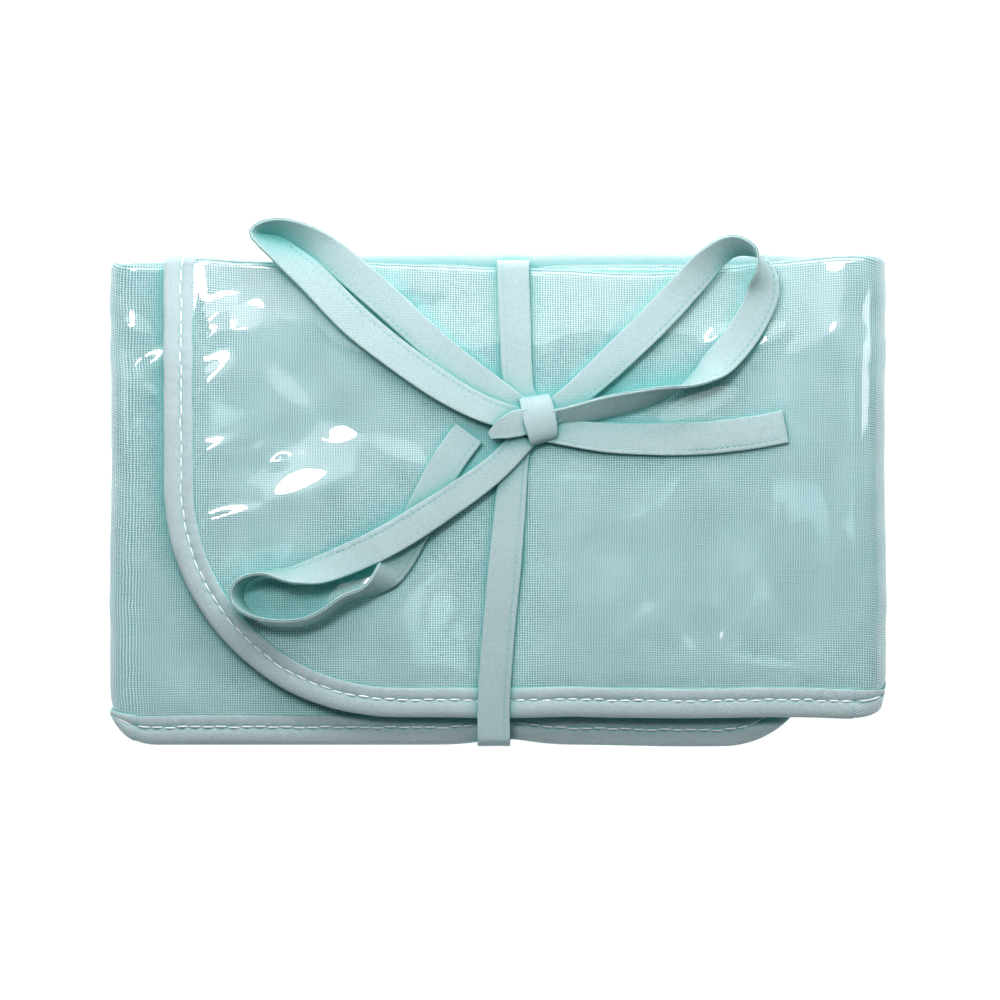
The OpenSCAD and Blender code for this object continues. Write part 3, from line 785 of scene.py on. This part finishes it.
def flat_place(tree, turn=0.0):
    """The sheet's flat coordinates, in mm."""
    uv = node(tree, "ShaderNodeUVMap", uv_map="flat").outputs[0]
    mapping = node(tree, "ShaderNodeMapping", {0: uv})
    mapping.inputs["Rotation"].default_value = (0, 0, math.radians(turn))
    mapping.inputs["Scale"].default_value = (1 / UV_PER_MM,) * 3
    return mapping.outputs[0]


def stretched(tree, place, sx, sy, detail=3.0):
    """Noise drawn out along one axis."""
    mapping = node(tree, "ShaderNodeMapping", {0: place})
    mapping.inputs["Scale"].default_value = (sx, sy, 1)
    return cloudy(tree, mapping.outputs[0], 1.0, detail)


def weave_parts(tree, place, pitch, wobble):
    """Two sets of threads: returns warp and weft, from 0 between threads to 1 on top of one."""
    shift = cloudy(tree, place, 0.35, 2.0, "Color")
    wobbles = {0: shift, 1: (wobble, wobble, 0)}
    moved = node(tree, "ShaderNodeVectorMath", wobbles, operation="MULTIPLY").outputs[0]
    place = node(tree, "ShaderNodeVectorMath", {0: place, 1: moved}, operation="ADD").outputs[0]
    parts = node(tree, "ShaderNodeSeparateXYZ", {0: place})
    found = []
    for axis in (0, 1):
        phase = maths(tree, "MULTIPLY", parts.outputs[axis], 2 * math.pi / pitch[axis])
        found.append(scaled(tree, maths(tree, "COSINE", phase), 0.5, 0.5))
    return found


def crevice_shade_mask(tree, reach, power):
    """1 in the open, and towards 0 between surfaces closer than reach, in metres: the mask for painted shade
    in crevices.
    """
    ao = node(tree, "ShaderNodeAmbientOcclusion", {"Distance": reach}, samples=4)
    return maths(tree, "POWER", ao.outputs["AO"], power, clamp=True)


def gauze_material():
    """Open plain weave: uneven threads, with dark gaps between them where they are thin."""
    new, tree, out = material("gauze_weave")
    place = flat_place(tree)
    warp, weft = weave_parts(tree, place, (0.82, 0.76), 0.6)
    thick_weft = stretched(tree, place, 0.3, 1.6, 2.0)
    thick_warp = stretched(tree, place, 1.6, 0.3, 2.0)
    warp = maths(tree, "ADD", warp, maths(tree, "MULTIPLY", maths(tree, "SUBTRACT", thick_warp, 0.46), 0.6))
    weft = maths(tree, "ADD", weft, maths(tree, "MULTIPLY", maths(tree, "SUBTRACT", thick_weft, 0.46), 0.8))
    no_warp = maths(tree, "SUBTRACT", 1.0, warp, clamp=True)
    no_weft = maths(tree, "SUBTRACT", 1.0, weft, clamp=True)
    hole = maths(tree, "MULTIPLY", no_warp, no_weft, clamp=True)
    patch = cloudy(tree, place, 0.07, 4.0)
    share = maths(tree, "MULTIPLY", hole, scaled(tree, patch, 3.0, 0.3), clamp=True)
    cloud = cloudy(tree, place, 0.11, 5.0)
    cloud = maths(tree, "MULTIPLY", maths(tree, "SUBTRACT", cloud, 0.3), 2.2, clamp=True)
    thread = blend_colour(tree, cloud, (0.89, 0.94, 0.965), (0.98, 0.98, 0.98))
    colour = blend_colour(tree, share, thread, (0.06, 0.27, 0.29))
    height = maths(tree, "ADD", warp, weft)
    bump = node(tree, "ShaderNodeBump", {"Height": height, "Strength": 0.3, "Distance": 0.00012})
    shader = node(tree, "ShaderNodeBsdfPrincipled", {
        "Base Color": colour, "Normal": bump.outputs[0], "Roughness": 0.85, "Sheen Weight": 0.15})
    tree.links.new(shader.outputs[0], out.inputs[0])
    return new


def cloth_material(name, pale, turn, through, reach=0.006, power=1.9):
    """Plain woven cotton, with the weave at an angle, turn. Its crevices are darkened to teal as painted
    shade, and it lets a share of the light through."""
    new, tree, out = material(name)
    place = flat_place(tree, turn)
    warp, weft = weave_parts(tree, place, (0.5, 0.5), 0.25)
    fleck = stretched(tree, place, 0.7, 3.4)
    other = stretched(tree, place, 3.4, 0.7)
    cloud = cloudy(tree, place, 0.12, 3.0)
    # The weave's hollows are darkened as painted shade, and the flecks are threads of uneven tone
    hollow = maths(tree, "MULTIPLY", maths(tree, "SUBTRACT", 1.0, warp), maths(tree, "SUBTRACT", 1.0, weft))
    flecks = maths(tree, "MULTIPLY", maths(tree, "SUBTRACT", maths(tree, "ADD", fleck, other), 0.95), 1.1)
    share = maths(tree, "ADD", maths(tree, "MULTIPLY", hollow, 0.85), flecks, clamp=True)
    base = blend_colour(tree, cloud, pale, tuple(c * 0.94 for c in pale))
    colour = blend_colour(tree, share, base, tuple(c * f for c, f in zip(pale, (0.45, 0.68, 0.68))))
    # Painted shade: the colour turns teal where other surfaces lie close, in place of the shade and bounced
    # light there
    crevice_painted_shade = blend_colour(tree, crevice_shade_mask(tree, reach, power), TEAL, colour)
    height = maths(tree, "ADD", maths(tree, "ADD", warp, weft), maths(tree, "MULTIPLY", fleck, 0.6))
    bump = node(tree, "ShaderNodeBump", {"Height": height, "Strength": 0.8, "Distance": 0.0001})
    shader = node(tree, "ShaderNodeBsdfPrincipled", {
        "Base Color": crevice_painted_shade, "Normal": bump.outputs[0], "Roughness": 0.8, "Sheen Weight": 0.2})
    glow = node(tree, "ShaderNodeBsdfTranslucent", {"Color": (*TEAL, 1)})
    mixed = node(tree, "ShaderNodeMixShader", {0: through, 1: shader.outputs[0], 2: glow.outputs[0]})
    tree.links.new(mixed.outputs[0], out.inputs[0])
    return new


def film_material():
    """Clear vinyl: see-through and glossy, with painted teal shade where it lies close under something."""
    new, tree, out = material("clear_film")
    place = flat_place(tree)
    fine = cloudy(tree, place, 0.12, 1.0)
    bump = node(tree, "ShaderNodeBump", {"Height": fine, "Strength": 0.14, "Distance": 0.0005})
    clear = node(tree, "ShaderNodeBsdfTransparent", {"Color": (0.97, 0.99, 1.0, 1)})
    white = (1, 1, 1, 1)
    crisp = node(tree, "ShaderNodeBsdfGlossy", {"Normal": bump.outputs[0], "Roughness": 0.03, "Color": white})
    facing = node(tree, "ShaderNodeLayerWeight", {"Blend": 0.5, "Normal": bump.outputs[0]}).outputs["Facing"]
    share = scaled(tree, maths(tree, "POWER", facing, 4.0), 0.45, 0.06)
    sheen = node(tree, "ShaderNodeBsdfGlossy", {"Normal": bump.outputs[0], "Roughness": 0.32, "Color": white})
    gloss = node(tree, "ShaderNodeMixShader", {0: 0.1, 1: crisp.outputs[0], 2: sheen.outputs[0]})
    # Painted shade: a teal diffuse layer where the film lies close under ribbons and folds, in place of their
    # shadow and bounced light
    ao = node(tree, "ShaderNodeAmbientOcclusion", {"Distance": 0.012}, samples=8).outputs["AO"]
    closeness = maths(tree, "MINIMUM", maths(tree, "SUBTRACT", 0.95, ao), 0.62)
    shade = maths(tree, "MULTIPLY", closeness, 1.15, clamp=True)
    painted_shade_colour = node(tree, "ShaderNodeBsdfDiffuse", {"Color": (0.07, 0.55, 0.52, 1)})
    body = node(tree, "ShaderNodeMixShader", {0: shade, 1: clear.outputs[0], 2: painted_shade_colour.outputs[0]})
    mixed = node(tree, "ShaderNodeMixShader", {0: share, 1: body.outputs[0], 2: gloss.outputs[0]})
    tree.links.new(mixed.outputs[0], out.inputs[0])
    return new


def thread_material():
    """White twisted sewing thread."""
    new, tree, out = material("sewing_thread")
    place = node(tree, "ShaderNodeTexCoord").outputs["Object"]
    twist = cloudy(tree, place, 2600.0, 2.0)
    colour = blend_colour(tree, twist, (0.97, 0.96, 0.98), (0.82, 0.86, 0.89))
    bump = node(tree, "ShaderNodeBump", {"Height": twist, "Strength": 0.4, "Distance": 0.00005})
    shader = node(tree, "ShaderNodeBsdfPrincipled", {
        "Base Color": colour, "Normal": bump.outputs[0], "Roughness": 0.55})
    tree.links.new(shader.outputs[0], out.inputs[0])
    return new


def wadding_material():
    """Matt white fibres, bonded together."""
    new, tree, out = material("bonded_wadding")
    place = node(tree, "ShaderNodeTexCoord").outputs["Object"]
    fibre = cloudy(tree, place, 900.0, 5.0)
    colour = blend_colour(tree, fibre, (0.86, 0.88, 0.87), (0.70, 0.73, 0.72))
    bump = node(tree, "ShaderNodeBump", {"Height": fibre, "Strength": 0.8, "Distance": 0.0003})
    shader = node(tree, "ShaderNodeBsdfPrincipled", {
        "Base Color": colour, "Normal": bump.outputs[0], "Roughness": 0.95})
    tree.links.new(shader.outputs[0], out.inputs[0])
    return new


# One material for each of the record's material slots
MATERIALS = {
    "gauze": gauze_material(),
    "clear_film": film_material(),
    "backing_cloth": cloth_material("backing_weave", (0.68, 0.78, 0.82), turn=0, through=0.1),
    "edging_tape": cloth_material("bias_tape", (0.61, 0.72, 0.75), turn=45, through=0.08),
    "tie_cloth": cloth_material(
        "tie_tape", (0.59, 0.74, 0.76), turn=45, through=0.14, reach=0.015, power=2.4),
    "thread": thread_material(),
    "wadding": wadding_material(),
}


def dress(obj, slot, body, *nodes):
    """Gives a piece its material, the body it rides on, and the CAD nodes it stands for."""
    obj.data.materials.clear()
    obj.data.materials.append(MATERIALS[slot])
    if body:
        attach(obj, body)
    if nodes:
        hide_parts(*nodes)
    return obj


# ---------------- the pad
def film_lift(u, v, panel):
    """The film stands a little off the cloth in folds and blisters on the leaf that shows."""
    if panel == "right_fold":
        return np.zeros(np.shape(u))
    side = "left" if panel == "left_fold" else panel
    y = EDGES[side][0] + v
    x = RIGHT_AXIS[0] - u if panel == "right" else LEFT_AXIS[0] + u
    leaf = EDGES[side][2] - EDGES[side][0]
    on_top = 1 - smooth(leaf - 3, leaf, v)
    shape = 0.16 * (1 + noise(x, y, 15, 51)) * (1 + noise(x, y, 40, 52)) * 0.5
    if panel == "right":
        shape = shape + crease_height(x, y, FILM_CREASES)
    shape = np.clip(shape, 0, None) * from_seam(panel, u)
    if side == "left":
        shape = shape + crease_height(u, y, SIDE_CREASES)
    return shape * on_top


BODY = {"middle": "middle_panel", "left": "left_flap", "right": "right_flap"}
PREFIX = {"middle": "middle", "left": "left_flap", "right": "right_flap", "left_fold": "left_fold",
          "right_fold": "right_fold"}
# Each ply: name, offset of its upper surface, thickness, inset from the edge, grid step, extra lift
PLIES = [
    ("gauze", 0.85, 0.25, 0.6, 1.6, None),
    ("wadding", 0.55, 1.25, 9.9, 3.2, None),
    ("backing", -0.78, 0.25, 0.6, 2.2, None),
    ("film", 1.0, 0, 0.6, 0.75, film_lift),
]
SLOT = {"gauze": "gauze", "wadding": "wadding", "backing": "backing_cloth", "film": "clear_film"}


# Each panel and each fold: its plies, bias tape and stitches
for panel, prefix in PREFIX.items():
    fold = panel.endswith("_fold")
    body = None if fold else BODY[panel]
    pieces = []
    for kind, offset, thick, inset, step, extra in PLIES:
        if fold:
            step = min(step, 1.6)
        piece = ply(f"{prefix}_{kind}_ply", panel, offset, thick, inset, step, extra)
        dress(piece, SLOT[kind], body, f"{prefix}_{kind}")
        pieces.append(piece)
    edging = tape(f"{prefix}_bias_tape", panel)
    dress(edging, "edging_tape", body, f"{prefix}_binding")
    pieces.append(edging)
    sewing = stitches(f"{prefix}_stitches", panel)
    dress(sewing, "thread", body)
    if not fold:
        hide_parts(f"{prefix}_thread")
    pieces.append(sewing)
    if fold:
        for piece in pieces:
            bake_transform(piece)

# ---------------- the tie
# Widths at even distances along a ribbon, in mm: it is gathered where it meets the knot
WIDTHS = {
    "tie_top_strap": [TIE_W, TIE_W, 10.4, 10.2, 8.6],
    "tie_bottom_strap": [8.4, 9.8, TIE_W, TIE_W, TIE_W, TIE_W],
    "tie_back_strap": [TIE_W, TIE_W],
    "tie_left_loop": [7.6, 9.8, TIE_W, TIE_W, TIE_W, TIE_W, 9.8, 8],
    "tie_right_loop": [7.6, 9.8, TIE_W, TIE_W, TIE_W, TIE_W, 9.6, 7.4],
    "tie_left_tail": [8, 10, TIE_W, TIE_W, TIE_W, TIE_W],
    "tie_right_tail": [7.4, 9.6, TIE_W, TIE_W, TIE_W],
    "tie_knot_tuck": [8.4, 9, 7, 2.2],
}
tie_sewing, back_sewing = [], []
for number, (name, route) in enumerate(ROUTES.items()):
    piece, sewing, line = ribbon(
        name + "_ribbon", route, 100 + 10 * number, WIDTHS[name], sewn=name != "tie_knot_tuck",
        flip=-1 if name in ("tie_bottom_strap", "tie_right_tail") else 1)
    body = "middle_panel" if name == "tie_back_strap" else "tie"
    (back_sewing if name == "tie_back_strap" else tie_sewing).extend(sewing)
    dress(piece, "tie_cloth", body, name)
dress(joined("tie_stitches", tie_sewing), "tie_cloth", "tie")
dress(joined("back_strap_stitches", back_sewing), "tie_cloth", "middle_panel")
wrap, _, _ = ribbon(
    "tie_knot_wrap", WRAP_ROUTE, 300, [9.5, 10, 10.6, 10.8, 10.2, 9.4, 8.6],
    thick=1.3, waviness=1.6, sewn=False)
dress(wrap, "tie_cloth", "tie", "tie_knot")

# Rows of thread that hold the tie to the edging tape
tacks = []
for row in range(4):
    y = HALF_H - 3.4 - row * 1.6
    for k in range(4):
        x = SEWN_X - TIE_W / 2 + 1 + k * 2.1
        xs = np.linspace(x, x + 1.8, 5)
        bow = np.sin(np.linspace(0, math.pi, 5))
        zs = BACK_STRAP_Z + TIE_T / 2 + 0.12 * bow
        tacks.append(bead(np.stack([xs, 0 * xs + y, zs], 1), 0.16))
dress(joined("tie_bartack_stitches", tacks), "thread", "middle_panel", "tie_bartack")

# ---------------- floor and light
FLOOR_Z = -0.0009  # in metres, just under the lowest point of the cloth
bpy.ops.mesh.primitive_plane_add(size=6, location=(0, 0, FLOOR_Z))
floor = bpy.context.object
floor.name = "floor"
floor_material, tree, out = material("pale_floor")
diffuse = node(tree, "ShaderNodeBsdfDiffuse", {"Color": (0.9, 0.9, 0.9, 1)})
glow = node(tree, "ShaderNodeEmission", {"Color": (1, 1, 1, 1), "Strength": 0.92})
both = node(tree, "ShaderNodeAddShader", {0: diffuse.outputs[0], 1: glow.outputs[0]})
tree.links.new(both.outputs[0], out.inputs[0])
floor.data.materials.append(floor_material)

world = bpy.data.worlds.new("studio")
bpy.context.scene.world = world
world.use_nodes = True
world.node_tree.nodes["Background"].inputs[0].default_value = (0.8, 1.0, 1.0, 1)
world.node_tree.nodes["Background"].inputs[1].default_value = 0.09


def softbox(name, place, target, width, height, power, colour=(1, 1, 1)):
    """A rectangular light, in metres and watts, that faces its target."""
    data = bpy.data.lights.new(name, "AREA")
    data.shape = "RECTANGLE"
    data.size, data.size_y = width, height
    data.energy = power
    data.color = colour
    lamp = bpy.data.objects.new(name, data)
    lamp.location = place
    lamp.rotation_euler = (Vector(target) - Vector(place)).to_track_quat("-Z", "Y").to_euler()
    bpy.context.scene.collection.objects.link(lamp)


softbox("key", (0.01, 0.225, 0.19), (0.01, 0.04, 0), 0.5, 0.2, 1.36, (1, 0.97, 0.98))
softbox("left", (-0.42, 0.05, 0.32), (0, 0, 0), 0.05, 0.22, 0.05)
softbox("right", (0.42, 0.05, 0.32), (0, 0, 0), 0.05, 0.22, 0.2)
softbox("sparkle", (-0.24, 0.36, 1.0), (0, 0, 0), 0.36, 0.15, 3.8, (1, 0.97, 0.98))
softbox("top", (0.0, 0.42, 1.4), (0, 0.05, 0), 0.9, 0.34, 2.0, (1, 0.98, 0.98))
bpy.context.scene.view_settings.view_transform = "Standard"
